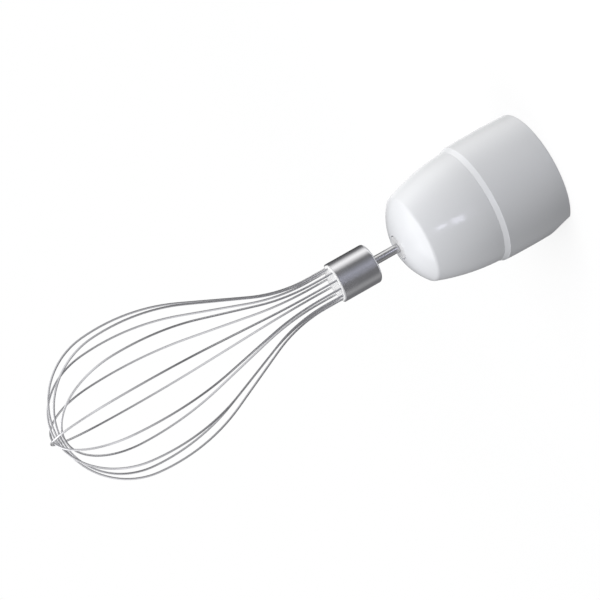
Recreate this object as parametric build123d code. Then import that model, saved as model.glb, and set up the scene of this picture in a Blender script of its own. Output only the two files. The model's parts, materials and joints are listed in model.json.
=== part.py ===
from build123d import *
import os
from math import acos, atan2, cos, degrees, pi, radians, sin, sqrt, tan

os.makedirs("parts", exist_ok=True)

# Whisk attachment of an immersion blender, in millimetres
# +Z runs from the coupling rim, at zero, to the whisk tip

# Clearances
seat_gap = 0.02
fit_gap = 0.05
run_gap = 0.04
slide_gap = 0.05
end_float = 0.1
side_gap = 0.3

# Coupling skirt
rim_r = 27.6
skirt_crown = 0.35
rim_round = 0.35
rim_wall = 2.4
socket_depth = 14.0
socket_chamfer = 0.6
socket_ledge = 1.0
well_depth = 12.0
shelf_thick = 2.5
spigot_length = 4.2
band_length = 2.2
band_fall = 0.9
band_line = 0.1
notch_r = 13.0
notch_depth = 8.5
latch_width = 8.0
latch_height = 3.0
latch_depth = 1.0
latch_z = 8.5
key_slot_width = 4.0
key_slot_depth = 1.0

# Gear bell
seam_gap = 0.06
bell_inset = 0.06
bell_height = 29.9
bell_curve_r = 100.0
shoulder_r = 20.4
shoulder_round = 2.8
nose_rise = 8.05
bell_wall = 2.6
spigot_step = 2.24
spigot_wall = 1.6
cavity_straight = 10.0
rib_count = 6
rib_thick = 1.6
rib_key_depth = 0.9
mouth_gap = 0.3
mouth_round = 0.4
mouth_lip = 2.2
boss_wall = 2.4

# Screws, gasket and bearing plate
screw_count = 3
screw_r = 1.2
screw_grip = 8.0
screw_head_r = 2.0
screw_head_height = 1.5
screw_slot_width = 0.7
screw_slot_depth = 0.8
screw_boss_wall = 1.4
screw_hole_gap = 0.3
screw_edge = 0.4
gasket_thick = 0.8
plate_thick = 2.5
plate_spigot = 2.0
plate_rib_count = 6
plate_rib_height = 1.0
plate_rib_width = 1.4
hub_wall = 2.4
hub_rise = 4.0

# Drive input
input_shaft_r = 2.0
input_bush_wall = 1.6
bush_flange_width = 1.4
bush_flange_thick = 0.8
dog_recess = 0.5
dog_root_r = 4.2
dog_tooth = 1.1
dog_tooth_count = 8
dog_tooth_width = 1.7
dog_chamfer = 0.6
thrust_washer_r = 4.6
thrust_washer_thick = 1.0
clip_thick = 0.8
clip_width = 1.8
clip_groove = 0.5
clip_opening = 2.4

# Planetary gear stage
gear_module = 0.6
sun_teeth = 12
planet_teeth = 18
planet_count = 3
gear_width = 8.0
pressure_angle = 20.0
addendum = 0.8
dedendum = 1.05
backlash = 0.12
ring_wall = 2.2
ring_end = 0.5
chamber_gap = 1.6
pin_r = 1.25
carrier_margin = 2.2
carrier_thick = 3.5
retainer_thick = 2.0
retainer_bore_gap = 1.0
carrier_room = 1.0

# Output spindle and its bearing
spindle_r = 5.3
spindle_recess = 0.25
output_bush_wall = 2.0
output_flange_width = 1.6
output_flange_thick = 1.5
output_washer_thick = 1.0
seal_height = 2.1

# Whisk shaft and its socket
shaft_r = 2.0
socket_grip = 17.4
drive_flat_half = 1.5
drive_flat_length = 7.0
detent_drop = 6.0
detent_width = 1.2
detent_thick = 1.0
detent_groove = 0.4
detent_opening = 1.6
neck_length = 12.7
shaft_top_cover = 2.5

# Ferrule and wire plug
ferrule_r = 9.1
ferrule_length = 18.5
ferrule_wall = 0.6
ferrule_floor = 0.8
ferrule_round = 1.4
plug_rise = 0.6
plug_round = 0.3

# Whisk cage, along the centre line of each wire
wire_r = 0.45
loop_count = 6
crossing_gap = 0.25
first_loop_angle = 95.5
leg_inset = 1.05
leg_seat = 10.5
leg_straight = 9.3
neck_curve_r = 65.6
neck_slope = 24.4
belly_r = 32.8
belly_curve_r = 82.6
crown_height = 41.4

# Heights, stacked from the rim
shelf_z = socket_depth + well_depth
gasket_z = shelf_z + shelf_thick
bell_foot_z = gasket_z + gasket_thick
skirt_top_z = bell_foot_z + spigot_length
bell_base_z = skirt_top_z + seam_gap
shoulder_z = bell_base_z + bell_height
nose_top_z = shoulder_z + nose_rise
ferrule_z = nose_top_z + neck_length
ferrule_end_z = ferrule_z + ferrule_length

plate_z = shelf_z - plate_thick
input_flange_z = plate_z - bush_flange_thick
dog_z = socket_depth + dog_recess
dog_top_z = input_flange_z - end_float
hub_top_z = shelf_z + hub_rise
thrust_washer_z = hub_top_z + end_float
clip_z = thrust_washer_z + thrust_washer_thick
retainer_z = clip_z + clip_thick + chamber_gap
planet_z = retainer_z + retainer_thick + side_gap
planet_top_z = planet_z + gear_width
carrier_z = planet_top_z + side_gap
carrier_top_z = carrier_z + carrier_thick
ring_teeth_z = planet_z - ring_end
ring_top_z = planet_top_z + ring_end
output_washer_z = carrier_top_z + end_float
output_flange_z = output_washer_z + output_washer_thick
boss_end_z = output_flange_z + output_flange_thick

# Gear radii
sun_r = gear_module * sun_teeth / 2
planet_r = gear_module * planet_teeth / 2
orbit_r = sun_r + planet_r
ring_teeth = sun_teeth + 2 * planet_teeth
ring_pitch_r = gear_module * ring_teeth / 2
ring_root_r = ring_pitch_r + dedendum * gear_module
ring_tip_r = ring_pitch_r - addendum * gear_module
ring_outer_r = ring_root_r + ring_wall
rib_edge_r = ring_outer_r - rib_key_depth
carrier_r = orbit_r + pin_r + carrier_margin

# Housing radii and the domed nose
socket_r = rim_r - rim_wall
well_r = socket_r - socket_ledge
band_top_r = rim_r - band_line - band_fall
bell_base_r = band_top_r - bell_inset
spigot_r = bell_base_r - spigot_step
screw_circle_r = well_r - screw_edge - screw_head_r
output_bush_r = spindle_r + run_gap + output_bush_wall
boss_r = output_bush_r + boss_wall
mouth_r = spindle_r + mouth_gap
dome_r = (shoulder_r**2 + nose_rise**2) / (2 * nose_rise)
mouth_z = nose_top_z - dome_r + sqrt(dome_r**2 - mouth_r**2)
roof_z = nose_top_z - dome_r + sqrt(dome_r**2 - boss_r**2) - bell_wall
lip_z = mouth_z - mouth_lip
seal_z = lip_z - seal_height
spindle_top_z = mouth_z - spindle_recess
shaft_tail_z = spindle_top_z - socket_grip
detent_z = spindle_top_z - detent_drop
input_bush_r = input_shaft_r + run_gap + input_bush_wall
hub_r = input_bush_r + hub_wall
shelf_bore_r = ring_root_r + seat_gap
screw_clear_r = screw_r + screw_hole_gap

# Where the wires stand and cross
plug_face_z = ferrule_end_z + plug_rise
leg_z = plug_face_z - leg_seat
leg_circle_r = ferrule_r - ferrule_wall - leg_inset
loop_pitch = 2 * wire_r + crossing_gap


def turned(outline):
    """Solid of revolution about Z from edges drawn as (radius, height)."""
    return revolve(Plane.XZ * make_face(outline.edges()), Axis.Z)


def ring(inner_r, outer_r, low_z, high_z):
    """Plain ring about Z."""
    corners = [(inner_r, low_z), (outer_r, low_z), (outer_r, high_z), (inner_r, high_z)]
    return turned(Polyline(*corners, close=True))


def rod(r, low_z, high_z):
    """Plain cylinder on Z."""
    blank = Cylinder(r, high_z - low_z, align=(Align.CENTER, Align.CENTER, Align.MIN))
    return Pos(0, 0, low_z) * blank


def block(inner_r, outer_r, width, low_z, high_z):
    """Box that reaches out along +X from one radius to another."""
    blank = Box(outer_r - inner_r, width, high_z - low_z, align=(Align.MIN, Align.CENTER, Align.MIN))
    return Pos(inner_r, 0, low_z) * blank


def around(shape, count, start=0.0):
    """Copies of a shape, evenly spaced about Z."""
    return [Rot(0, 0, start + 360 / count * i) * shape for i in range(count)]


def screw_places(shape):
    """The same shape at each screw."""
    return around(Pos(screw_circle_r, 0, 0) * shape, screw_count)


def corner_at(shape, radius, height):
    """The circular edge of a turned solid at one radius and height."""
    centre = Vector(0, 0, height)
    circles = shape.edges().filter_by(GeomType.CIRCLE)
    return circles.sort_by(lambda edge: abs(edge.radius - radius) + (edge.arc_center - centre).length)[0]


def coupling_skirt():
    """Collar that slips over the drive handle, with a shelf that the bell and plate clamp."""
    band_z = skirt_top_z - band_length
    recess_r = spigot_r + fit_gap
    wall = ThreePointArc((rim_r, 0), (rim_r + skirt_crown, band_z / 2), (rim_r, band_z))
    inside = Polyline(
        (rim_r, band_z),
        (rim_r - band_line, band_z),
        (band_top_r, skirt_top_z),
        (recess_r, skirt_top_z),
        (recess_r, gasket_z),
        (shelf_bore_r, gasket_z),
        (shelf_bore_r, shelf_z),
        (well_r, shelf_z),
        (well_r, socket_depth),
        (socket_r, socket_depth),
        (socket_r, socket_chamfer),
        (socket_r + socket_chamfer, 0),
        (rim_r, 0),
    )
    skirt = turned(Curve() + wall + inside)
    skirt = fillet(corner_at(skirt, rim_r, 0), rim_round)
    notch = Pos(-rim_r, 0, notch_depth - notch_r) * Rot(0, 90, 0) * Cylinder(notch_r, rim_r)
    latch = block(0, socket_r + latch_depth, latch_width, latch_z, latch_z + latch_height)
    key_slot = block(0, socket_r + key_slot_depth, key_slot_width, 0, socket_depth)
    skirt -= notch
    skirt -= around(latch, 2, 90)
    skirt -= key_slot
    skirt -= screw_places(rod(screw_clear_r, shelf_z, gasket_z))
    return skirt


def gear_bell():
    """Tapered gear housing: a moulded shell with a bearing boss, ribs and screw bosses."""
    spigot_bore_r = spigot_r - spigot_wall
    flank = RadiusArc((bell_base_r, bell_base_z), (shoulder_r, shoulder_z), -bell_curve_r)
    dome = RadiusArc((shoulder_r, shoulder_z), (0, nose_top_z), -dome_r)
    foot = Polyline(
        (0, nose_top_z),
        (0, bell_foot_z),
        (spigot_r, bell_foot_z),
        (spigot_r, bell_base_z),
        (bell_base_r, bell_base_z),
    )
    blank = turned(Curve() + flank + dome + foot)
    blank = fillet(corner_at(blank, shoulder_r, shoulder_z), shoulder_round)
    blank -= rod(mouth_r, boss_end_z, nose_top_z)
    blank = fillet(corner_at(blank, mouth_r, mouth_z), mouth_round)

    straight_z = bell_base_z + cavity_straight
    inner_shoulder = (shoulder_r - bell_wall, shoulder_z - bell_wall)
    inner_flank = RadiusArc((spigot_bore_r, straight_z), inner_shoulder, -bell_curve_r)
    inner_wall = Polyline(
        inner_shoulder,
        (boss_r, roof_z),
        (boss_r, boss_end_z),
        (0, boss_end_z),
        (0, bell_foot_z),
        (spigot_bore_r, bell_foot_z),
        (spigot_bore_r, straight_z),
    )
    cavity = turned(Curve() + inner_flank + inner_wall)

    carrier_room_r = carrier_r + carrier_room
    gear_room = rod(rib_edge_r + fit_gap, bell_foot_z, ring_top_z)
    gear_room += rod(carrier_room_r, ring_top_z, boss_end_z)
    rib = block(output_bush_r, spigot_r, rib_thick, bell_foot_z, shoulder_z)
    ribs = Part() + around(rib, rib_count, 180 / rib_count)
    ribs -= gear_room
    boss = rod(screw_r + screw_boss_wall, bell_foot_z, bell_foot_z + screw_grip + screw_boss_wall)
    bosses = Part() + screw_places(boss)
    bosses -= rod(ring_outer_r + fit_gap, bell_foot_z, ring_top_z)

    bell = blank - cavity
    bell += ribs & cavity
    bell += bosses & cavity
    bell -= rod(output_bush_r + seat_gap, boss_end_z, lip_z)
    bell -= screw_places(rod(screw_r + seat_gap, bell_foot_z, bell_foot_z + screw_grip))
    return bell


def bearing_plate():
    """Disc that closes the gear chamber and carries the input bush in its hub."""
    plate = rod(well_r - fit_gap, plate_z, shelf_z)
    plate += rod(shelf_bore_r - fit_gap, shelf_z, shelf_z + plate_spigot)
    plate += rod(hub_r, shelf_z, hub_top_z)
    rib_start_r = input_bush_r + bush_flange_width + side_gap
    rib = block(rib_start_r, shelf_bore_r, plate_rib_width, plate_z - plate_rib_height, plate_z)
    plate += around(rib, plate_rib_count, 180 / plate_rib_count)
    plate -= rod(input_bush_r + seat_gap, plate_z - plate_rib_height, hub_top_z)
    plate -= screw_places(rod(screw_clear_r, plate_z, shelf_z))
    return plate


def plate_screws():
    """Screws from the handle side, through plate, shelf and gasket into the bell."""
    head_z = plate_z - screw_head_height
    screw = rod(screw_r, plate_z, bell_foot_z + screw_grip - end_float)
    screw += rod(screw_head_r, head_z, plate_z)
    slot = Box(2 * screw_head_r, screw_slot_width, 2 * screw_slot_depth)
    screw -= Pos(0, 0, head_z) * slot
    screw -= Pos(0, 0, head_z) * Rot(0, 0, 90) * slot
    return Compound(screw_places(screw))


def gearbox_gasket():
    """Flat seal between the shelf and the bell's foot."""
    gasket = ring(shelf_bore_r, spigot_r, gasket_z, bell_foot_z)
    return gasket - screw_places(rod(screw_clear_r, gasket_z, bell_foot_z))


def input_bush():
    """Flanged bearing of the input shaft."""
    bush = rod(input_bush_r, plate_z, hub_top_z)
    bush += rod(input_bush_r + bush_flange_width, input_flange_z, plate_z)
    return bush - rod(input_shaft_r + run_gap, input_flange_z, hub_top_z)


def input_shaft():
    """Spindle from the drive dog to the sun gear, grooved for its clip."""
    shaft = rod(input_shaft_r, dog_z + dog_chamfer, planet_top_z)
    groove = ring(input_shaft_r - clip_groove, input_shaft_r, clip_z, clip_z + clip_thick)
    return shaft - groove


def drive_dog():
    """Splined dog that the drive spindle turns, with a lead-in chamfer."""
    dog = rod(dog_root_r, dog_z, dog_top_z)
    tooth = block(input_shaft_r + seat_gap, dog_root_r + dog_tooth, dog_tooth_width, dog_z, dog_top_z)
    dog += around(tooth, dog_tooth_count)
    tip_r = sqrt((dog_root_r + dog_tooth) ** 2 + (dog_tooth_width / 2) ** 2)
    lead_in = ring(tip_r - dog_chamfer, 2 * tip_r, dog_z, dog_z + dog_chamfer)
    cone = turned(
        Polyline(
            (0, dog_z),
            (tip_r - dog_chamfer, dog_z),
            (tip_r, dog_z + dog_chamfer),
            (0, dog_z + dog_chamfer),
            close=True,
        )
    )
    dog -= lead_in - cone
    return dog - rod(input_shaft_r + seat_gap, dog_z, dog_top_z)


def input_thrust_washer():
    """Washer between the hub and the clip."""
    top_z = thrust_washer_z + thrust_washer_thick
    return ring(input_shaft_r + seat_gap, thrust_washer_r, thrust_washer_z, top_z)


def open_ring(inner_r, outer_r, opening, low_z, high_z):
    """Spring ring with a gap on its +X side."""
    return ring(inner_r, outer_r, low_z, high_z) - block(0, 2 * outer_r, opening, low_z, high_z)


def input_retaining_clip():
    """Spring clip in the input shaft's groove."""
    inner_r = input_shaft_r - clip_groove
    return open_ring(inner_r, inner_r + clip_width, clip_opening, clip_z, clip_z + clip_thick)


def tooth_half_angle(r, pitch_r, width):
    """Half of the angle that an involute tooth spans at radius r, from its width at the pitch circle."""
    base_angle = radians(pressure_angle)
    angle = acos(min(1.0, pitch_r * cos(base_angle) / r))
    return width / (2 * pitch_r) + tan(base_angle) - base_angle - tan(angle) + angle


def gear_face(teeth, root_r, tip_r, width, start):
    """Flat gear outline whose first tooth is centred on the angle start, in degrees."""
    pitch_r = gear_module * teeth / 2
    flank_r = max(root_r, pitch_r * cos(radians(pressure_angle)))
    flank_radii = [flank_r, (flank_r + tip_r) / 2, tip_r]
    half_angles = [tooth_half_angle(r, pitch_r, width) for r in flank_radii]

    def at(r, angle):
        return Vector(r * cos(angle), r * sin(angle))

    edges = []
    for i in range(teeth):
        middle = radians(start + 360 / teeth * i)
        following = middle + 2 * pi / teeth
        rising = [at(r, middle - half) for r, half in zip(flank_radii, half_angles)]
        falling = [at(r, middle + half) for r, half in zip(flank_radii, half_angles)]
        next_foot = at(root_r, following - half_angles[0])
        if flank_r > root_r:
            edges.append(Line(at(root_r, middle - half_angles[0]), rising[0]))
            edges.append(Line(falling[0], at(root_r, middle + half_angles[0])))
        edges.append(ThreePointArc(*rising))
        edges.append(ThreePointArc(rising[2], at(tip_r, middle), falling[2]))
        edges.append(ThreePointArc(*reversed(falling)))
        edges.append(
            ThreePointArc(
                at(root_r, middle + half_angles[0]),
                at(root_r, (middle + following) / 2),
                next_foot,
            )
        )
    return make_face(edges)


def outer_gear(teeth, start):
    """Toothed disc between the planets' two end heights."""
    pitch_r = gear_module * teeth / 2
    width = pi * gear_module / 2 - backlash / 2
    root_r = pitch_r - dedendum * gear_module
    tip_r = pitch_r + addendum * gear_module
    face = gear_face(teeth, root_r, tip_r, width, start)
    return Pos(0, 0, planet_z) * extrude(face, gear_width)


def sun_gear():
    """Pinion on the input shaft, with a tooth on each planet's line."""
    return outer_gear(sun_teeth, 0) - rod(input_shaft_r + seat_gap, planet_z, planet_top_z)


def planet_gear(index):
    """Planet with tooth spaces towards the sun and the ring."""
    gear = outer_gear(planet_teeth, 180 / planet_teeth)
    gear -= rod(pin_r + run_gap, planet_z, planet_top_z)
    return Rot(0, 0, 360 / planet_count * index) * Pos(orbit_r, 0, 0) * gear


def ring_gear():
    """Fixed internal gear, keyed to the bell's ribs and standing on the gasket."""
    space = pi * gear_module / 2 + backlash / 2
    blank = rod(ring_outer_r, bell_foot_z, ring_top_z)
    blank -= rod(ring_root_r, bell_foot_z, ring_teeth_z)
    face = gear_face(ring_teeth, ring_tip_r, ring_root_r, space, 180 / ring_teeth)
    blank -= Pos(0, 0, ring_teeth_z) * extrude(face, ring_top_z - ring_teeth_z)
    groove = block(rib_edge_r, 2 * ring_outer_r, rib_thick + 2 * fit_gap, bell_foot_z, ring_top_z)
    return blank - around(groove, rib_count, 180 / rib_count)


def pin_places(shape):
    """The same shape at each planet pin."""
    return around(Pos(orbit_r, 0, 0) * shape, planet_count)


def planet_carrier():
    """Disc that the planets push round, made in one with the hollow output spindle."""
    carrier = rod(carrier_r, carrier_z, carrier_top_z)
    carrier += rod(spindle_r, carrier_top_z, spindle_top_z)
    carrier -= pin_places(rod(pin_r + seat_gap, carrier_z, carrier_top_z))
    floor_z = shaft_tail_z - end_float
    flat_top_z = shaft_tail_z + drive_flat_length - end_float
    bore_r = shaft_r + slide_gap
    flats = Box(4 * shaft_r, 2 * (drive_flat_half + slide_gap), 4 * socket_grip)
    carrier -= rod(bore_r, flat_top_z, spindle_top_z)
    carrier -= rod(bore_r, floor_z, flat_top_z) & (Pos(0, 0, floor_z) * flats)
    groove_r = bore_r + detent_thick + detent_groove
    return carrier - rod(groove_r, detent_z, detent_z + detent_width + 2 * end_float)


def planet_pins():
    """Pins pressed through the carrier and the retainer."""
    return Compound(pin_places(rod(pin_r, retainer_z, carrier_top_z)))


def carrier_retainer():
    """Plate on the free ends of the pins."""
    plate = ring(sun_r + gear_module + retainer_bore_gap, carrier_r, retainer_z, retainer_z + retainer_thick)
    return plate - pin_places(rod(pin_r + seat_gap, retainer_z, retainer_z + retainer_thick))


def output_bush():
    """Long flanged bearing of the spindle, pressed into the bell's boss."""
    bush = rod(output_bush_r, boss_end_z, seal_z)
    bush += rod(output_bush_r + output_flange_width, output_flange_z, boss_end_z)
    return bush - rod(spindle_r + run_gap, output_flange_z, seal_z)


def output_thrust_washer():
    """Washer between the carrier and the output bush."""
    outer_r = output_bush_r + output_flange_width
    return ring(spindle_r + run_gap, outer_r, output_washer_z, output_flange_z)


def nose_seal():
    """Seal ring behind the nose lip."""
    return ring(spindle_r + run_gap, output_bush_r, seal_z, lip_z)


def whisk_detent_ring():
    """Spring ring in the spindle's groove, drawn at the width that lets the whisk pass."""
    inner_r = shaft_r + slide_gap
    low_z = detent_z + end_float
    return open_ring(inner_r, inner_r + detent_thick, detent_opening, low_z, low_z + detent_width)


def whisk_shaft():
    """Steel rod with two drive flats and a detent groove at its tail."""
    top_z = ferrule_end_z - shaft_top_cover
    shaft = rod(shaft_r, shaft_tail_z, top_z)
    shaft = chamfer(corner_at(shaft, shaft_r, shaft_tail_z), detent_groove)
    tail = rod(2 * shaft_r, shaft_tail_z, shaft_tail_z + drive_flat_length)
    shaft -= tail - Pos(0, 0, shaft_tail_z) * Box(4 * shaft_r, 2 * drive_flat_half, 4 * drive_flat_length)
    low_z = detent_z + end_float
    return shaft - ring(shaft_r - detent_groove, 2 * shaft_r, low_z, low_z + detent_width)


def ferrule():
    """Deep-drawn steel cup, open towards the wires."""
    bore_r = shaft_r + seat_gap
    cup = rod(ferrule_r, ferrule_z, ferrule_end_z)
    cup = fillet(corner_at(cup, ferrule_r, ferrule_z), ferrule_round)
    cup -= rod(ferrule_r - ferrule_wall, ferrule_z + ferrule_floor, ferrule_end_z)
    return cup - rod(bore_r, ferrule_z, ferrule_z + ferrule_floor)


def wire_plug():
    """Moulded core that holds the wire ends and stands a little out of the ferrule."""
    plug_r = ferrule_r - ferrule_wall - seat_gap
    plug = rod(plug_r, ferrule_z + ferrule_floor, plug_face_z)
    plug = fillet(corner_at(plug, plug_r, plug_face_z), plug_round)
    plug -= rod(shaft_r + seat_gap, ferrule_z + ferrule_floor, ferrule_end_z - shaft_top_cover)
    hole = Pos(leg_circle_r, 0, 0) * rod(wire_r + seat_gap, leg_z, plug_face_z)
    return plug - around(hole, 2 * loop_count, first_loop_angle)


def whisk_wire(index):
    """One wire loop: two legs that swell into a belly and meet over a round crown."""
    slope = radians(neck_slope)
    neck_z = ferrule_end_z + leg_straight
    neck_end_r = leg_circle_r + neck_curve_r * (1 - cos(slope))
    neck_end_z = neck_z + neck_curve_r * sin(slope)
    swell_r = belly_r - belly_curve_r * (1 - cos(slope))
    swell_z = neck_end_z + (swell_r - neck_end_r) / tan(slope)
    belly_z = swell_z + belly_curve_r * sin(slope)

    rise = crown_height - loop_pitch * index
    belly_offset = belly_curve_r - belly_r
    crown_r = (belly_curve_r**2 - rise**2 - belly_offset**2) / (2 * (belly_curve_r - rise))
    crown_angle = degrees(atan2(rise - crown_r, belly_offset))
    turn = neck_slope + crown_angle

    leg = Line((leg_circle_r, leg_z), (leg_circle_r, neck_z))
    neck = JernArc(leg @ 1, leg % 1, neck_curve_r, -neck_slope)
    run = Line(neck @ 1, (swell_r, swell_z))
    belly = JernArc(run @ 1, run % 1, belly_curve_r, turn)
    side = Curve() + leg + neck + run + belly
    crown = ThreePointArc(belly @ 1, (0, belly_z + rise), (-(belly @ 1).X, (belly @ 1).Y))
    path = Plane.XZ * (side + crown + mirror(side, Plane.YZ))
    section = Pos(leg_circle_r, 0, leg_z) * Circle(wire_r)
    loop = sweep(section, path=Wire(path.edges()))
    return Rot(0, 0, first_loop_angle - 180 / loop_count * index) * loop


pieces = {
    "coupling_skirt": coupling_skirt(),
    "gear_bell": gear_bell(),
    "bearing_plate": bearing_plate(),
    "plate_screws": plate_screws(),
    "gearbox_gasket": gearbox_gasket(),
    "input_bush": input_bush(),
    "input_shaft": input_shaft(),
    "drive_dog": drive_dog(),
    "input_thrust_washer": input_thrust_washer(),
    "input_retaining_clip": input_retaining_clip(),
    "sun_gear": sun_gear(),
    "ring_gear": ring_gear(),
    "planet_carrier": planet_carrier(),
    "planet_pins": planet_pins(),
    "carrier_retainer": carrier_retainer(),
    "output_bush": output_bush(),
    "output_thrust_washer": output_thrust_washer(),
    "nose_seal": nose_seal(),
    "whisk_detent_ring": whisk_detent_ring(),
    "whisk_shaft": whisk_shaft(),
    "ferrule": ferrule(),
    "wire_plug": wire_plug(),
}
for index in range(planet_count):
    pieces[f"planet_gear_{index + 1}"] = planet_gear(index)
for index in range(loop_count):
    pieces[f"whisk_wire_{index + 1}"] = whisk_wire(index)

for name, piece in pieces.items():
    export_step(piece, f"parts/{name}.step")
    print(name, round(piece.volume, 1))
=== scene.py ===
# %% [markdown]
# # A whisk attachment, from bare solids to a studio picture
# The part is a balloon whisk with a steel shaft that plugs into a white gear collar.
# Its solids come ready made and to size, so this lesson is about what Blender adds: a camera, a small
# photo studio, and one procedural finish for each thing that the pieces are made of.
# Everything is in metres, with +Z running from the collar's rim to the tip of the whisk.

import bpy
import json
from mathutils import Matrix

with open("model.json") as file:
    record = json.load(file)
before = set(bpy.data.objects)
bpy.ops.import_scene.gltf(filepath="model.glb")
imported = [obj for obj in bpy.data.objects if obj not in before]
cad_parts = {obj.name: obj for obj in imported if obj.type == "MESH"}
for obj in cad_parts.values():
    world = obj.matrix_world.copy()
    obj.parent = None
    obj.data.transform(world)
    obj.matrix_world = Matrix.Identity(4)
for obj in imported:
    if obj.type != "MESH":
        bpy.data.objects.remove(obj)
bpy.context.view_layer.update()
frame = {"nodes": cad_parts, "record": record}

# %% [markdown]
# ## The camera
# The product lies across the picture from upper right to lower left. The part itself stands on its rim,
# so the camera is rolled instead of the object.
# It looks along +Y and a little down, through a long lens that keeps the wires almost parallel.

# %% Place the camera
import bpy
from math import cos, pi, radians, sin
from mathutils import Matrix, Vector

look_at = Vector((0.00116, 0.0, 0.1198))
view_tilt = radians(12.99)
view_roll = radians(-119.5)
view_distance = 0.9182
lens_mm = 129.7
sensor_mm = 36.0

scene = bpy.context.scene
camera = bpy.data.objects.new("camera", bpy.data.cameras.new("camera"))
scene.collection.objects.link(camera)
camera.data.lens = lens_mm
camera.data.sensor_width = sensor_mm
turn = Matrix.Rotation(pi / 2 - view_tilt, 4, "X") @ Matrix.Rotation(view_roll, 4, "Z")
camera.matrix_world = Matrix.Translation(look_at) @ turn @ Matrix.Translation((0, 0, view_distance))
scene.camera = camera
scene.view_settings.view_transform = "Standard"
print("camera at", [round(value, 4) for value in camera.matrix_world.translation])

# %% [markdown]
# ## Arithmetic for shaders
# A finish is mostly arithmetic: some noise, times a small number, added to a base value.
# In the node editor every plus sign is a box with two wires. Python can write the same thing as a formula
# if one small class stands for a socket and turns each operator into a Math node.
# Every other kind of node comes from the one method `node`.

# %% A socket that can be added and multiplied
class Signal:
    """An output socket. Arithmetic on it adds Math nodes to the tree that it lives in."""

    def __init__(self, tree, socket=None):
        self.tree = tree
        self.socket = socket

    def node(self, kind, settings=None, sockets=None, output=0):
        """Adds a node, makes its settings, then fills or links its sockets."""
        made = self.tree.nodes.new("ShaderNode" + kind)
        for name, value in (settings or {}).items():
            setattr(made, name, value)
        for name, value in (sockets or {}).items():
            if isinstance(value, Signal):
                self.tree.links.new(value.socket, made.inputs[name])
            else:
                made.inputs[name].default_value = value
        return Signal(self.tree, made.outputs[output] if made.outputs else None)

    def out(self, name):
        """Another output of the same node."""
        return Signal(self.tree, self.socket.node.outputs[name])

    def math(self, operation, first, second=0.0):
        return self.node("Math", {"operation": operation}, {0: first, 1: second})

    def __add__(self, other):
        return self.math("ADD", self, other)

    def __radd__(self, other):
        return self.math("ADD", other, self)

    def __sub__(self, other):
        return self.math("SUBTRACT", self, other)

    def __rsub__(self, other):
        return self.math("SUBTRACT", other, self)

    def __mul__(self, other):
        return self.math("MULTIPLY", self, other)

    def __rmul__(self, other):
        return self.math("MULTIPLY", other, self)


def mix_colours(factor, first, second):
    """Blends two colours; a Math node would turn them grey."""
    return factor.node("Mix", {"data_type": "RGBA"}, {0: factor, 6: first, 7: second}, output=2)


def mix_shaders(factor, first, second):
    """Blends two shaders."""
    return factor.node("MixShader", sockets={0: factor, 1: first, 2: second})


print("a Signal knows", sorted(name for name in vars(Signal) if "__" not in name))

# %% [markdown]
# ## A white studio
# A white page behind a product isn't made by pouring light over it: pale plastic would burn out.
# The background is white only for rays that somebody looks along, from the camera or by way of a shiny
# surface. For soft bounced light the same room is much dimmer, so that the lamps can shape the object.
# The Light Path node tells the kinds of ray apart.

# %% The room
white = (1.0, 1.0, 1.0, 1.0)
room_colour = (0.97, 0.98, 1.0, 1.0)
room_light = 0.357


def looked_along(tree):
    """1 for a ray from the camera or off a shiny surface, 0 for soft bounced light."""
    ray = Signal(tree).node("LightPath")
    total = ray.out("Is Camera Ray") + ray.out("Is Glossy Ray") + ray.out("Is Transmission Ray")
    return total.node("Clamp", sockets={0: total})


def room():
    """White to look at, dim as a source of light."""
    world = bpy.data.worlds.new("white_room")
    world.use_nodes = True
    world.node_tree.nodes.clear()
    seen = looked_along(world.node_tree)
    dim = seen.node("Background", sockets={"Color": room_colour, "Strength": room_light})
    page = seen.node("Background", sockets={"Color": white, "Strength": 1.0})
    seen.node("OutputWorld", sockets={"Surface": mix_shaders(seen, dim, page)})
    return world


scene.world = room()
print("room light:", room_light)

# %% [markdown]
# ## The floor
# The floor is a round sheet under the rim. Towards its edge it fades into the white room, so no horizon
# shows. Most of its white glows by itself and the rest is lit, which is what keeps a soft shadow under
# the part. For soft light its colour is dark, but close to the rim, on the side that the lamps stand on,
# it is painted paler: a painted pool of light, which throws more light up and keeps the skirt as pale as
# the housing above it. Reflections leave it out, or the gloss of the collar would carry a white stripe
# near the rim. Seen from below it vanishes, so the inside of the collar can be looked into, and under the
# rim it lets soft light through, or that inside would be a black hole. It lies a hair lower than the rim,
# so the two never fight.

# %% A floor that keeps the shadow
import bmesh

round_steps = 96
floor_r = 0.50
floor_solid_r = 0.06
floor_open_r = 0.0282
floor_open_edge = 0.0005
floor_z = -0.0002
floor_glow = 0.80
floor_white = (0.97, 0.97, 0.97, 1.0)
floor_bounce = (0.06, 0.06, 0.06, 1.0)
# Painted pool of light: the floor's colour for soft light, paler near the rim on the side the lamps stand
# on.
painted_pool_bounce = (0.24, 0.24, 0.24, 1.0)
near_r = (0.12, 0.05)
near_side = (-0.01, 0.05)


def start_material(name):
    """An empty material, and the place of each point on its piece in metres."""
    material = bpy.data.materials.new(name)
    material.use_nodes = True
    material.node_tree.nodes.clear()
    return material, Signal(material.node_tree).node("TexCoord", output="Object")


def add_mesh(name, build):
    """A mesh object from a function that fills a bmesh."""
    shape = bmesh.new()
    build(shape)
    mesh = bpy.data.meshes.new(name)
    shape.to_mesh(mesh)
    shape.free()
    piece = bpy.data.objects.new(name, mesh)
    scene.collection.objects.link(piece)
    return piece


def smooth_step(value, start, end, kind="SMOOTHSTEP"):
    """0 before start, 1 after end and a slope between; start may be the larger."""
    sockets = {"Value": value, "From Min": start, "From Max": end}
    return value.node("MapRange", {"interpolation_type": kind}, sockets)


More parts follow.
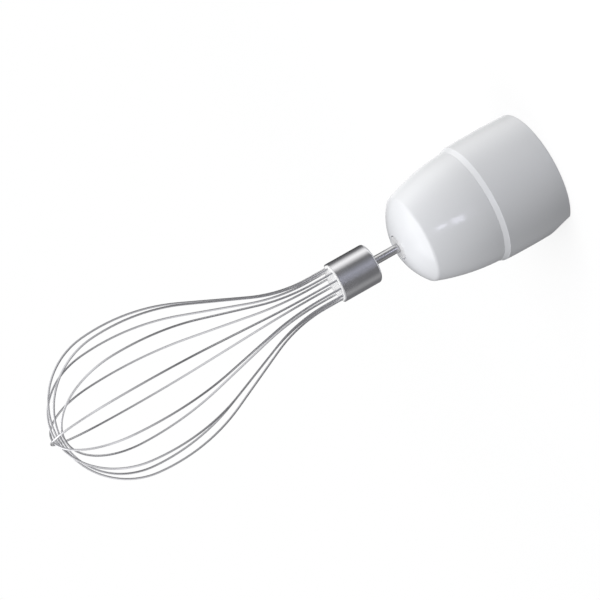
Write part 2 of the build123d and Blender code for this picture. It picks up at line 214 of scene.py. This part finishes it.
def floor_finish():
    material, place = start_material("floor_white")
    seen = looked_along(place.tree)
    lit = place.node("BsdfDiffuse", sockets={"Color": floor_white})
    glow = place.node("Emission", sockets={"Color": white, "Strength": 1.0})
    page = place.node("MixShader", sockets={0: floor_glow, 1: lit, 2: glow})
    far = place.node("BsdfDiffuse", sockets={"Color": floor_bounce})
    near = place.node("BsdfDiffuse", sockets={"Color": painted_pool_bounce})
    clear = place.node("BsdfTransparent")
    axes = place.node("SeparateXYZ", sockets={0: place})
    reach = place.node("VectorMath", {"operation": "LENGTH"}, {0: place}, output="Value")
    # Painted pool of light: the bounce colour turns paler near the rim on the lamps' side.
    lit_side = smooth_step(axes.out("X") - axes.out("Y"), *near_side)
    bounce = mix_shaders(smooth_step(reach, *near_r) * lit_side, far, near)
    below = place.node("NewGeometry", output="Backfacing")
    gone = place.math("MAXIMUM", smooth_step(reach, floor_solid_r, floor_r), below)
    opening = smooth_step(reach, floor_open_r, floor_open_r - floor_open_edge)
    soft = mix_shaders(opening, bounce, clear)
    surface = mix_shaders(gone, mix_shaders(seen, soft, page), clear)
    place.node("OutputMaterial", sockets={"Surface": surface})
    return material


def disc(shape):
    """One flat round face."""
    bmesh.ops.create_circle(shape, cap_ends=True, segments=round_steps, radius=floor_r)


floor = add_mesh("floor", disc)
floor.data.materials.append(floor_finish())
floor.location.z = floor_z
floor.visible_glossy = False
print("floor:", floor.name, "radius", floor_r)

# %% [markdown]
# ## Cards for the steel
# Polished steel has no shade of its own: it shows the room. In an all-white room it would look like
# paper. A product photographer stands cards round it, and the steel gets its dark body and bright stripe
# from them. One ring close to the collar and ferrule does that here. It is seen in reflections only, and
# its grey changes with the direction round the object: a dark base, a bright card on the +X side, a low
# one behind it for the edge of the collar, dim ones elsewhere. Two slits in the front card let a bright
# panel behind it show, which is the short broken streak on the gear housing. The panel stands well back:
# from other sides the slits hide it, and no glare eats into the outline. A grey shelf over the panel
# keeps its light off the wires.

# %% A ring of cards
all_round = (-180, 180)
card_ring_r = 0.042
card_ring_z = (-0.03, 0.104)
card_base = (0.23, 0.23, 0.235, 1.0)
card_edge = 0.005
cards_around = [
    {"centre": 75, "half_width": 38, "z": (-0.1, 0.2), "colour": (1.50, 1.49, 1.47, 1.0)},
    {"centre": 1, "half_width": 37, "z": (-0.1, 0.2), "colour": (0.41, 0.42, 0.47, 1.0)},
    {"centre": -84, "half_width": 30, "z": (-0.1, 0.2), "colour": (0.44, 0.44, 0.44, 1.0)},
    {"centre": 126, "half_width": 44, "z": (-0.1, 0.065), "colour": (1.05, 1.05, 1.05, 1.0)},
    {"centre": 150, "half_width": 45, "z": (0.068, 0.2), "colour": (0.05, 0.05, 0.05, 1.0)},
]
slit_lean = 220.0
slit_edge = 0.35
slits = [
    {"heading": -5.0, "half_width": 3.7, "z": 0.0612, "half_height": 0.0051},
    {"heading": -7.2, "half_width": 6.0, "z": 0.0505, "half_height": 0.0054},
]
panel_r = 0.092
panel_headings = (-16, -1)
panel_z = (0.038, 0.088)
panel_colour = (4.5, 4.45, 5.35, 1.0)
shelf_r = (0.0422, 0.096)
shelf_headings = (-26, 9)
shelf_z = 0.0895
shelf_colour = (0.42, 0.42, 0.42, 1.0)


def band(shape, rims, headings=all_round, steps=round_steps):
    """A strip round Z between two rims, each a radius and a height; headings run from -Y towards +X."""
    first, last = headings
    turns = [radians(first + (last - first) * i / steps) for i in range(steps + 1)]
    rows = [[shape.verts.new((r * sin(a), -r * cos(a), z)) for a in turns] for r, z in rims]
    for i in range(steps):
        shape.faces.new((rows[0][i], rows[0][i + 1], rows[1][i + 1], rows[1][i]))


def upright_band(name, radius, heights, headings=all_round):
    """A strip that stands round Z."""
    return add_mesh(name, lambda shape: band(shape, [(radius, z) for z in heights], headings))


def flat_band(name, radii, height, headings=all_round):
    """A strip that lies round Z and faces down."""
    return add_mesh(name, lambda shape: band(shape, [(r, height) for r in radii], headings))


def off_centre(value, centre):
    """Distance of a value from a centre, whichever side it lies on."""
    return value.math("ABSOLUTE", value - centre)


def heading_and_height(place):
    """Direction round Z in degrees, counted from -Y towards +X, and the height."""
    axes = place.node("SeparateXYZ", sockets={0: place})
    return place.math("ARCTAN2", axes.out("X"), -1.0 * axes.out("Y")) * (180 / pi), axes.out("Z")


def glow(place, colour, clear=0.0):
    """Ends a card: it shines by itself, and it isn't there where clear is 1."""
    light = place.node("Emission", sockets={"Color": colour, "Strength": 1.0})
    surface = place.node("MixShader", sockets={0: clear, 1: light, 2: place.node("BsdfTransparent")})
    place.node("OutputMaterial", sockets={"Surface": surface})


def card_finish():
    material, place = start_material("card_greys")
    heading, height = heading_and_height(place)
    colour = card_base
    for card in cards_around:
        low, high = card["z"]
        cover = smooth_step(off_centre(heading, card["centre"]), card["half_width"], 0.0)
        cover = cover * smooth_step(height, low - card_edge, low + card_edge)
        cover = cover * smooth_step(height, high + card_edge, high - card_edge)
        colour = mix_colours(cover, colour, card["colour"])
    clear = 0.0
    for slit in slits:
        wide, tall = slit["half_width"], slit["half_height"]
        middle = (height - slit["z"]) * slit_lean + slit["heading"]
        across = smooth_step(off_centre(heading, middle), wide, slit_edge * wide)
        clear = clear + across * smooth_step(off_centre(height, slit["z"]), tall, slit_edge * tall)
    glow(place, colour, clear)
    return material


def plain_card(name, colour):
    material, place = start_material(name)
    glow(place, colour)
    return material


def reflection_only(piece, material):
    """Puts a card where only shiny surfaces find it."""
    piece.data.materials.append(material)
    piece.visible_camera = False
    piece.visible_diffuse = False
    piece.visible_transmission = False
    piece.visible_shadow = False
    print(piece.name, "has", len(piece.data.polygons), "panels")


reflection_only(upright_band("cards", card_ring_r, card_ring_z), card_finish())
panel = upright_band("panel", panel_r, panel_z, panel_headings)
reflection_only(panel, plain_card("panel_glow", panel_colour))
shelf = flat_band("shelf", shelf_r, shelf_z, shelf_headings)
reflection_only(shelf, plain_card("shelf_grey", shelf_colour))

# %% [markdown]
# ## Walls for the wires
# A wire is a thin mirror. Where it leans back it shows what is above, where it leans forward what is
# below. So the wires need more than a ring of cards: they need a room that goes from grey at their foot
# to pale above. A wide wall gives it. Far wires then start pale at the ferrule and darken towards the
# crown, and near wires do the opposite. At the crown they all show the wall behind: dark low down, which
# makes the very tip dark, and brightest higher up, which fades the near wires just below it. The foot of
# the wall is pale again for near wires that lean far forward. Its top is grey again, so that the wires
# don't fade into the white page when they are seen from below.

# %% Walls
wall_r = 0.5
wall_z = (-1.2, 1.2)
wall_grey = (0.19, 0.19, 0.195, 1.0)
wall_pale = (1.22, 1.22, 1.24, 1.0)
wall_top = (0.5, 0.5, 0.5, 1.0)
wall_foot = (1.0, 1.0, 1.0, 1.0)
wall_behind_low = (0.20, 0.20, 0.20, 1.0)
wall_behind_high = (2.2, 2.2, 2.22, 1.0)
wall_rise = (-0.05, 0.50)
wall_top_z = (0.6, 0.8)
wall_foot_z = (-0.25, -0.60)
behind_y = (0.25, 0.45)
behind_low_z = (0.14, 0.24)
behind_high_z = (0.4, 0.55)


def wall_finish():
    material, place = start_material("wall_greys")
    axes = place.node("SeparateXYZ", sockets={0: place})
    height = axes.out("Z")
    colour = mix_colours(smooth_step(height, *wall_rise, "LINEAR"), wall_grey, wall_pale)
    colour = mix_colours(smooth_step(height, *wall_top_z), colour, wall_top)
    behind = smooth_step(axes.out("Y"), *behind_y)
    colour = mix_colours(behind * smooth_step(height, *behind_low_z), colour, wall_behind_low)
    colour = mix_colours(behind * smooth_step(height, *behind_high_z), colour, wall_behind_high)
    glow(place, mix_colours(smooth_step(height, *wall_foot_z), colour, wall_foot))
    return material


reflection_only(upright_band("walls", wall_r, wall_z), wall_finish())

# %% [markdown]
# ## A roof over the nose
# The round nose of the housing looks almost straight up. In front it shows a bright panel, so it is whitest
# along the shoulder, and towards the shaft it shows the darker back of the room.
# A flat ring over the nose does both. It is clear from above, or the ferrule would mirror it too.

# %% Roof
roof_r = (0.012, 0.042)
roof_z = 0.104
roof_front = -0.012
roof_back = 0.006
roof_bright = (2.2, 2.2, 2.2, 1.0)
roof_dark = (0.30, 0.30, 0.30, 1.0)


def roof_finish():
    material, place = start_material("roof_greys")
    depth = place.node("SeparateXYZ", sockets={0: place}, output="Y")
    colour = mix_colours(smooth_step(depth, roof_back, roof_front), roof_dark, roof_bright)
    glow(place, colour, place.node("NewGeometry", output="Backfacing"))
    return material


reflection_only(flat_band("roof", roof_r, roof_z), roof_finish())

# %% [markdown]
# ## The lamps
# The strongest lamp hangs high in front and towards +X: it whitens the nose, the band and the wire plug.
# A second one stands low on the +X side, so that the collar falls off from white to grey across its width.
# A third fills in from behind on the -X side.
# All are large and soft. They are left out of reflections, because there the cards already stand for them.

# %% Lamps
def area_lamp(name, heading, elevation, power, colour=(1.0, 1.0, 1.0), distance=1.3, size=1.0):
    """A square lamp aimed at the middle of the part; the heading is counted from -Y towards +X."""
    lamp = bpy.data.lights.new(name, "AREA")
    lamp.shape = "SQUARE"
    lamp.size = size
    lamp.energy = power
    lamp.color = colour
    holder = bpy.data.objects.new(name, lamp)
    flat = cos(radians(elevation))
    away = Vector((sin(radians(heading)) * flat, -cos(radians(heading)) * flat, sin(radians(elevation))))
    holder.location = look_at + distance * away
    holder.rotation_euler = away.to_track_quat("Z", "Y").to_euler()
    holder.visible_glossy = False
    scene.collection.objects.link(holder)
    print("lamp", name, "at", [round(value, 2) for value in holder.location])


area_lamp("key", heading=30, elevation=51, power=12.65)
area_lamp("side", heading=103, elevation=3, power=8.4, colour=(1.0, 0.99, 0.95))
area_lamp("fill", heading=-118, elevation=56, power=6.1)

# %% [markdown]
# ## Finishes
# Each finish has three layers: a colour that drifts a little, a roughness that drifts too, and a fine
# relief. Noise gives all three. Its blobs are sized in metres, and stretching it along one axis turns
# blobs into lines, which is how turned and drawn metal is made. The dictionary `finishes` collects them
# under the names that the part's record uses.

# %% Noise and the common end of a finish
finishes = {}


def start_finish(name):
    """An empty finish, kept under its name in the record."""
    finishes[name], place = start_material(name)
    return place


def noise(place, size, stretch=(1, 1, 1), detail=2.0):
    """Noise from 0 to 1 with blobs of one size in metres, drawn out along the axes by stretch."""
    density = [1 / (size * factor) for factor in stretch]
    grid = place.node("VectorMath", {"operation": "MULTIPLY"}, {0: place, 1: density})
    return place.node("TexNoise", sockets={"Vector": grid, "Scale": 1.0, "Detail": detail})


def dress(place, relief, depth, sockets, normal=None):
    """Ends a finish: relief as a bump, one Principled shader, the output."""
    base = {"Normal": normal} if normal else {}
    bump = place.node("Bump", sockets={"Height": relief, "Distance": depth, "Strength": 1.0, **base})
    shader = place.node("BsdfPrincipled", sockets={**sockets, "Normal": bump})
    place.node("OutputMaterial", sockets={"Surface": shader})
    print(list(finishes)[-1], "has", len(place.tree.nodes), "nodes")


around_z = (40, 40, 1)
along_z = (1, 1, 60)
print("noise stretched", around_z, "makes rings,", along_z, "makes drawn lines")

# %% [markdown]
# ### White shell
# Skirt and housing are injection moulded in glossy white. A polished mould leaves a surface that is
# smooth but never quite flat, so reflections have slightly soft edges. The drift in colour is about one
# part in a hundred, just enough to keep large areas from looking computed. Just below the shoulder round the
# mesh has a few thin triangles whose corners lean the wrong way, and gloss shows that as a bright nick.
# The wall is a plain cone there, so its normal follows from the place alone.

# %% White shell
cone_z = (0.0616, 0.06281)
cone_r = 0.0202
cone_rise = 0.355
cone_fade = 2e-4
cone_top_fade = 2e-5
plastic_ior = 1.5


def axis_reach(place):
    """Distance of a point from Z."""
    axes = place.node("SeparateXYZ", sockets={0: place})
    return place.math("SQRT", axes.out("X") * axes.out("X") + axes.out("Y") * axes.out("Y"))


def cone_normal(place):
    """The mesh's own normal, and below the shoulder round that of a cone."""
    axes = place.node("SeparateXYZ", sockets={0: place})
    reach = axis_reach(place)
    lean = place.node("CombineXYZ", sockets={"X": axes.out("X"), "Y": axes.out("Y"), "Z": cone_rise * reach})
    cone = place.node("VectorMath", {"operation": "NORMALIZE"}, {0: lean})
    low, high = cone_z
    height = axes.out("Z")
    strip = smooth_step(height, low - cone_fade, low) * smooth_step(height, high + cone_top_fade, high)
    cover = strip * smooth_step(reach, cone_r - cone_fade, cone_r)
    own = place.node("NewGeometry", output="Normal")
    return place.node("Mix", {"data_type": "VECTOR"}, {0: cover, 4: own, 5: cone}, output=1)


def white_shell():
    place = start_finish("white_shell")
    colour = mix_colours(noise(place, size=0.020), (0.826, 0.836, 0.862, 1.0), (0.844, 0.854, 0.878, 1.0))
    roughness = 0.10 + 0.06 * noise(place, size=0.009)
    look = {"Base Color": colour, "Roughness": roughness, "IOR": plastic_ior}
    dress(place, noise(place, size=0.0014), depth=2e-6, sockets=look, normal=cone_normal(place))


white_shell()

# %% [markdown]
# ### Moulded plastics
# The bearing plate and the plug that holds the wires are plain mouldings. Their moulds are spark eroded,
# which leaves an even grain a few tenths of a millimetre across: it scatters the light and hides small
# sink marks.

# %% Plate and plug
def moulded(name, light, dark, roughness, grain):
    """Moulded plastic with a fine eroded grain."""
    place = start_finish(name)
    colour = mix_colours(noise(place, size=0.006), light, dark)
    dull = roughness + 0.12 * noise(place, size=0.003)
    look = {"Base Color": colour, "Roughness": dull, "IOR": plastic_ior}
    dress(place, noise(place, grain), depth=8e-6, sockets=look)


moulded("plate_plastic", (0.80, 0.805, 0.81, 1.0), (0.76, 0.765, 0.77, 1.0), roughness=0.35, grain=0.0004)
moulded("plug_plastic", (0.96, 0.96, 0.96, 1.0), (0.94, 0.94, 0.94, 1.0), roughness=0.30, grain=0.0004)

# %% [markdown]
# ### Drive dog
# The dog is dark moulded nylon. Each time the collar is pushed on, the motor's spindle scrapes along the
# teeth, so their tips are paler and duller than the root. The wear follows the distance from the axis, and
# noise breaks it up.

# %% Drive dog
tooth_root = 0.0044
tooth_tip = 0.0054


def worn_dog():
    place = start_finish("dog_plastic")
    outward = smooth_step(axis_reach(place), tooth_root, tooth_tip)
    wear = outward * smooth_step(noise(place, size=0.0006), 0.35, 0.65)
    colour = mix_colours(wear, (0.085, 0.085, 0.095, 1.0), (0.16, 0.16, 0.17, 1.0))
    roughness = 0.38 + 0.20 * wear
    look = {"Base Color": colour, "Roughness": roughness, "IOR": plastic_ior}
    dress(place, noise(place, size=0.0003), depth=8e-6, sockets=look)


worn_dog()

# %% [markdown]
# ### Gears
# Planets and ring gear are natural acetal, a waxy off-white plastic that runs well against steel.
# They are assembled with grease. It lies in smears, so a clear coat comes and goes over the teeth.

# %% Greased acetal
def acetal():
    place = start_finish("gear_plastic")
    colour = mix_colours(noise(place, size=0.005), (0.81, 0.80, 0.75, 1.0), (0.79, 0.78, 0.73, 1.0))
    grease = smooth_step(noise(place, size=0.0035, detail=3.0), 0.42, 0.62)
    roughness = 0.34 + 0.08 * noise(place, size=0.002)
    look = {"Base Color": colour, "Roughness": roughness, "IOR": 1.48}
    coat = {"Coat Weight": grease, "Coat Roughness": 0.12}
    dress(place, noise(place, size=0.0003), depth=5e-6, sockets={**look, **coat})


acetal()

# %% [markdown]
# ### Planet carrier
# The carrier and its output sleeve are nylon with glass fibre in it, for stiffness. Short fibres lie at the
# surface in the direction in which the melt flowed, and show as faint pale threads.
# Two noises, drawn out along X and along Y, give the threads.

# %% Glass-filled nylon
fibre = 0.00015
along_x = (12, 1, 1)
along_y = (1, 12, 1)


def filled_nylon():
    place = start_finish("carrier_plastic")
    threads = noise(place, fibre, along_x) * noise(place, fibre, along_y)
    colour = mix_colours(smooth_step(threads, 0.15, 0.40), (0.84, 0.84, 0.85, 1.0), (0.88, 0.88, 0.89, 1.0))
    roughness = 0.32 + 0.20 * threads
    look = {"Base Color": colour, "Roughness": roughness, "IOR": 1.53}
    dress(place, threads, depth=4e-6, sockets=look)


filled_nylon()

# %% [markdown]
# ### Rubber
# Gasket and nose seal are black rubber. Wax comes to the surface with time and leaves a grey bloom in
# patches.

# %% Rubber with bloom
def rubber():
    place = start_finish("seal_rubber")
    bloom = smooth_step(noise(place, size=0.0018, detail=4.0), 0.45, 0.75)
    colour = mix_colours(bloom, (0.07, 0.07, 0.07, 1.0), (0.12, 0.12, 0.12, 1.0))
    roughness = 0.60 + 0.25 * bloom
    look = {"Base Color": colour, "Roughness": roughness, "IOR": 1.5}
    dress(place, noise(place, size=0.0002), depth=1e-5, sockets=look)


rubber()

# %% [markdown]
# ### Bronze bushes
# Both bearings are pressed from bronze powder and sintered. The pores between the grains stay open and hold
# oil: dark specks that are no longer metallic.

# %% Sintered bronze
def sintered_bronze():
    place = start_finish("bearing_bronze")
    pores = smooth_step(noise(place, size=0.00022, detail=4.0), 0.58, 0.68)
    metal = mix_colours(noise(place, size=0.002), (0.58, 0.42, 0.23, 1.0), (0.52, 0.38, 0.21, 1.0))
    colour = mix_colours(pores, metal, (0.12, 0.08, 0.05, 1.0))
    look = {"Base Color": colour, "Roughness": 0.36 + 0.25 * pores, "Metallic": 1.0 - 0.8 * pores}
    dress(place, 1.0 - pores, depth=1e-5, sockets=look)


sintered_bronze()

# %% [markdown]
# ### Screws
# The screws are zinc plated. The plating is passivated in a bath that leaves a thin film, so the grey
# shifts from a cold to a faintly yellow tone within a millimetre or two.

# %% Zinc plate
def zinc():
    place = start_finish("fastener_steel")
    tone = noise(place, size=0.0012, detail=3.0)
    colour = mix_colours(tone, (0.59, 0.62, 0.67, 1.0), (0.65, 0.63, 0.60, 1.0))
    roughness = 0.24 + 0.16 * noise(place, size=0.0005)
    look = {"Base Color": colour, "Roughness": roughness, "Metallic": 1.0}
    dress(place, noise(place, size=0.0002), depth=2e-6, sockets=look)


zinc()

# %% [markdown]
# ### Turned and drawn steel
# Shafts, washers, pins and the sun gear come off a lathe, which leaves rings round Z. The whisk shaft is
# ground after that and much finer. The ferrule is polished along its length and the wires are pulled
# through a die, so their lines run along Z instead. One function makes them all: only the tone, the width
# of a line, its direction and its depth differ.

# %% Bright steels
def steel(name, light, dark, roughness, line, stretch, depth):
    """Bright metal with lines left by the tool that finished it."""
    place = start_finish(name)
    lines = noise(place, line, stretch)
    colour = mix_colours(lines, light, dark)
    dull = roughness + 0.10 * noise(place, size=0.004) + 0.06 * lines
    dress(place, lines, depth, {"Base Color": colour, "Roughness": dull, "Metallic": 1.0})


steel("turned_steel", (0.62, 0.62, 0.63, 1.0), (0.55, 0.55, 0.56, 1.0),
      roughness=0.22, line=0.0001, stretch=around_z, depth=1.5e-6)
steel("shaft_steel", (0.59, 0.59, 0.60, 1.0), (0.54, 0.54, 0.55, 1.0),
      roughness=0.18, line=0.0001, stretch=around_z, depth=5e-7)
steel("ferrule_steel", (0.62, 0.62, 0.64, 1.0), (0.58, 0.58, 0.60, 1.0),
      roughness=0.12, line=0.0002, stretch=along_z, depth=5e-7)
steel("wire_steel", (0.64, 0.64, 0.655, 1.0), (0.60, 0.60, 0.615, 1.0),
      roughness=0.22, line=0.0003, stretch=along_z, depth=2e-7)

# %% [markdown]
# ### Spring steel
# Clips, the pin retainer and the detent ring are stamped from spring steel and tempered. Heat leaves an
# oxide film whose colour goes from straw to blue with its thickness, so it is never even.

# %% Tempered spring steel
def tempered():
    place = start_finish("spring_steel")
    film = smooth_step(noise(place, size=0.0025, detail=3.0), 0.35, 0.70)
    colour = mix_colours(film, (0.47, 0.45, 0.42, 1.0), (0.40, 0.42, 0.48, 1.0))
    roughness = 0.28 + 0.12 * noise(place, size=0.001)
    look = {"Base Color": colour, "Roughness": roughness, "Metallic": 1.0}
    dress(place, noise(place, size=0.0003), depth=1.5e-6, sockets=look)


tempered()

# %% [markdown]
# ## Dress every solid
# The record names a finish for each solid, so one loop puts them on.

# %% Put the finishes on
for row in frame["record"]["subparts"]:
    frame["nodes"][row["node"]].material_slots[0].material = finishes[row["material_slot"]]

# %% [markdown]
# ## Sizes
# Finishes lie on the solids and move no surface, so the dressed part has to fill the same box as the bare
# solids.

# %% Close
import json
